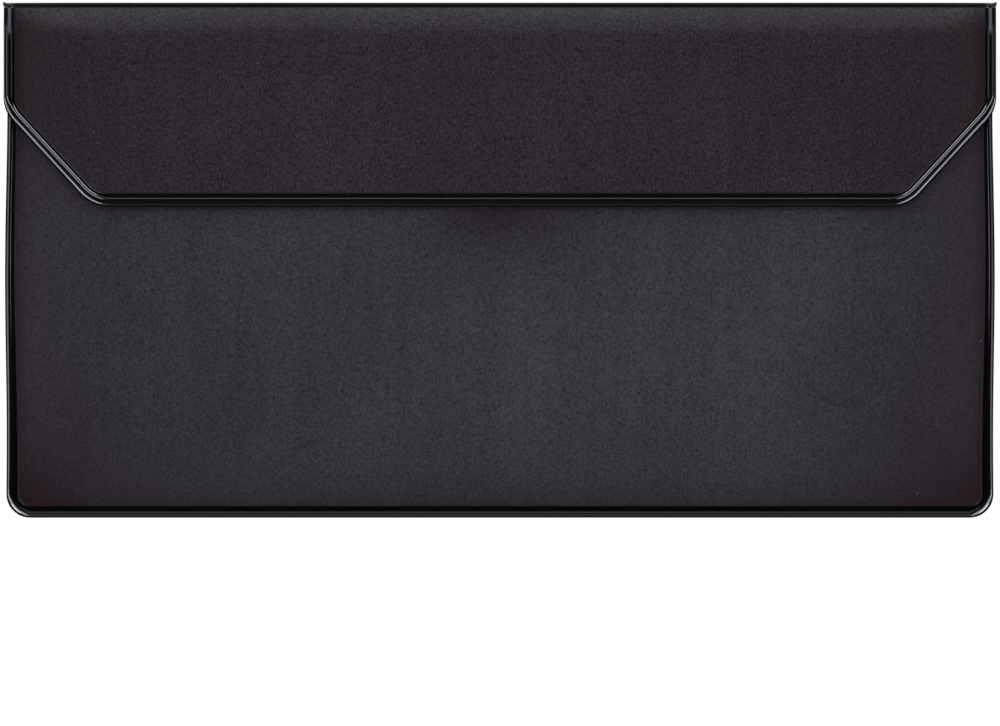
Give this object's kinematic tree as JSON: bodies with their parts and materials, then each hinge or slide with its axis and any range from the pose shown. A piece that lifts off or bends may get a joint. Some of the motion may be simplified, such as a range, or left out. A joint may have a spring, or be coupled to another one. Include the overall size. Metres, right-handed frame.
{
  "type": "travel document pouch",
  "caption": "Flat black vinyl travel document pouch with welded edges and a fold-over flap with cut corners that swings open about the fold.",
  "frame": {"origin": "under the middle of the pouch's outline, on the surface that it lies on", "axes": "+X along the fold, +Y towards the fold, +Z out of the front"},
  "size_m": [0.248, 0.1284, 0.0081],
  "materials": {
    "cover_vinyl": "leather-grain plasticised vinyl, satin",
    "front_vinyl": "leather-grain plasticised vinyl, satin",
    "lining_vinyl": "fine-grained lining vinyl, satin",
    "welded_vinyl": "melted smooth by the weld, glossy"
  },
  "bodies": {
    "pouch": {"cover_back": "cover_vinyl", "lining_back": "lining_vinyl", "front_panel": "front_vinyl", "front_lining": "lining_vinyl", "mouth_weld": "welded_vinyl", "pouch_weld": "welded_vinyl", "cover_spine": "cover_vinyl", "lining_spine": "lining_vinyl", "spine_weld_left": "welded_vinyl", "spine_weld_right": "welded_vinyl"},
    "flap": {"cover_flap": "cover_vinyl", "lining_flap": "lining_vinyl", "flap_weld": "welded_vinyl"}
  },
  "joints": [
    {"name": "flap_fold", "type": "hinge", "parent": "pouch", "child": "flap", "pos_m": [0, 0.06425, 0.00405], "axis": [-1, 0, 0], "range_deg": [0, 180], "deforming": ["cover_spine", "lining_spine", "spine_weld_left", "spine_weld_right"]}
  ]
}
